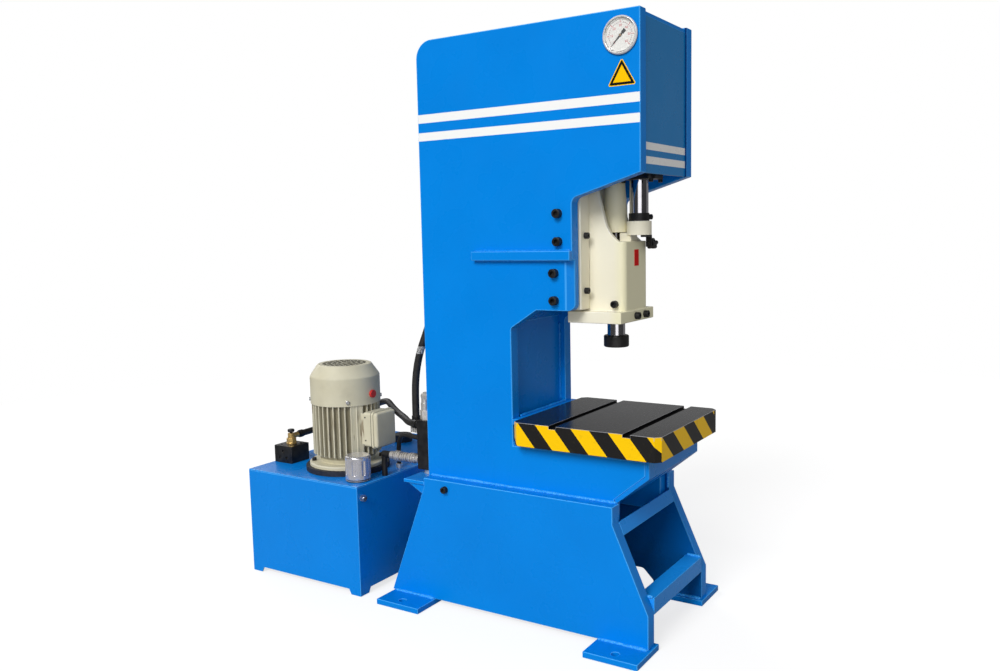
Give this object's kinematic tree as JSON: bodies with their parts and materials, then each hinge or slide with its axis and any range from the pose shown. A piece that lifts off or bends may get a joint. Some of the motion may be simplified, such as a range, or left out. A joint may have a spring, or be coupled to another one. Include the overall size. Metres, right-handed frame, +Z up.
{
  "type": "hydraulic press",
  "caption": "C-frame hydraulic press with a guided slide over a grooved table, a splayed base, and an oil tank with a motor pump beside it.",
  "frame": {"origin": "on the floor, in the middle of the four anchor holes of the press", "axes": "+Z up; the front of the press faces -Y; +X to the right of a person who faces the press"},
  "size_m": [0.84, 1.723, 2],
  "materials": {
    "blue_paint": "gloss enamel",
    "cream_paint": "satin enamel",
    "grey_paint": "satin enamel",
    "black_paint": "satin black",
    "table_steel": "dark ground steel with painted edge",
    "black_steel": "blackened",
    "bright_steel": "machined",
    "chrome": "polished",
    "brass": "machined",
    "rubber": "matt",
    "black_plastic": "moulded",
    "red_plastic": "moulded",
    "dial_white": "printed dial",
    "glass": "clear"
  },
  "bodies": {
    "press": {"side_plate_left": "blue_paint", "side_plate_right": "blue_paint", "head_top_plate": "blue_paint", "head_front_cover": "blue_paint", "head_belly_plate": "blue_paint", "rear_plate": "blue_paint", "throat_plate": "blue_paint", "jaw_plate": "blue_paint", "stiffener_bars": "blue_paint", "base_plate_left": "blue_paint", "base_plate_right": "blue_paint", "foot_plates": "blue_paint", "base_crossbars": "blue_paint", "manifold_shelf": "blue_paint", "work_table": "table_steel", "slide_housing": "cream_paint", "gib_plates": "cream_paint", "main_cylinder": "cream_paint", "rod_bush": "black_paint", "gauge_case": "bright_steel", "gauge_dial": "dial_white", "gauge_glass": "glass", "frame_bolts": "black_steel", "oil_tank": "blue_paint", "tank_lid": "blue_paint", "motor_seal_ring": "rubber", "motor_frame": "grey_paint", "motor_bearings": "bright_steel", "fan_cowl": "grey_paint", "red_plug": "red_plastic", "terminal_box": "grey_paint", "terminal_lid": "grey_paint", "gear_pump": "bright_steel", "suction_strainer": "bright_steel", "breather_base": "chrome", "return_filter": "black_paint", "valve_block": "black_steel", "relief_fitting": "brass", "manifold_block": "black_steel", "manifold_fittings": "bright_steel", "hose_ends": "black_steel", "lift_hose": "rubber", "relief_hose": "rubber", "return_hose": "rubber", "plated_screws": "bright_steel"},
    "slide": {"press_slide": "cream_paint", "slide_marker": "red_plastic", "tool_shank": "chrome", "tool_nut": "black_steel", "piston_rod": "chrome", "guide_rod": "chrome", "stroke_arm": "cream_paint", "rod_collar": "black_paint", "slide_screws": "black_steel"},
    "clamp_knob": {"clamp_knob": "black_plastic"},
    "rotor": {"motor_shaft": "bright_steel", "cooling_fan": "black_plastic"},
    "pointer": {"gauge_pointer": "black_paint"},
    "relief_knob": {"relief_knob": "black_plastic"},
    "breather_cap": {"breather_cap": "chrome"}
  },
  "joints": [
    {"name": "slide_travel", "type": "slide", "parent": "press", "child": "slide", "axis": [0, 0, -1], "range_m": [0, 0.2]},
    {"name": "clamp_knob_turn", "type": "hinge", "parent": "slide", "child": "clamp_knob", "pos_m": [0.07, -0.38, 1.29], "axis": [1, 0, 0], "range_deg": [-180, 180]},
    {"name": "motor_spin", "type": "hinge", "parent": "press", "child": "rotor", "pos_m": [-0.125, 0.845, 0.5], "axis": [0, 0, 1], "continuous": true},
    {"name": "pointer_swing", "type": "hinge", "parent": "press", "child": "pointer", "pos_m": [-0.22, -0.401, 1.922], "axis": [1, 0, 0], "range_deg": [0, 270]},
    {"name": "relief_knob_turn", "type": "hinge", "parent": "press", "child": "relief_knob", "pos_m": [-0.16, 1.122, 0.544], "axis": [0, 0, 1], "range_deg": [-180, 180]},
    {"name": "breather_lift", "type": "slide", "parent": "press", "child": "breather_cap", "axis": [0, 0, 1], "range_m": [0, 0.03]}
  ]
}
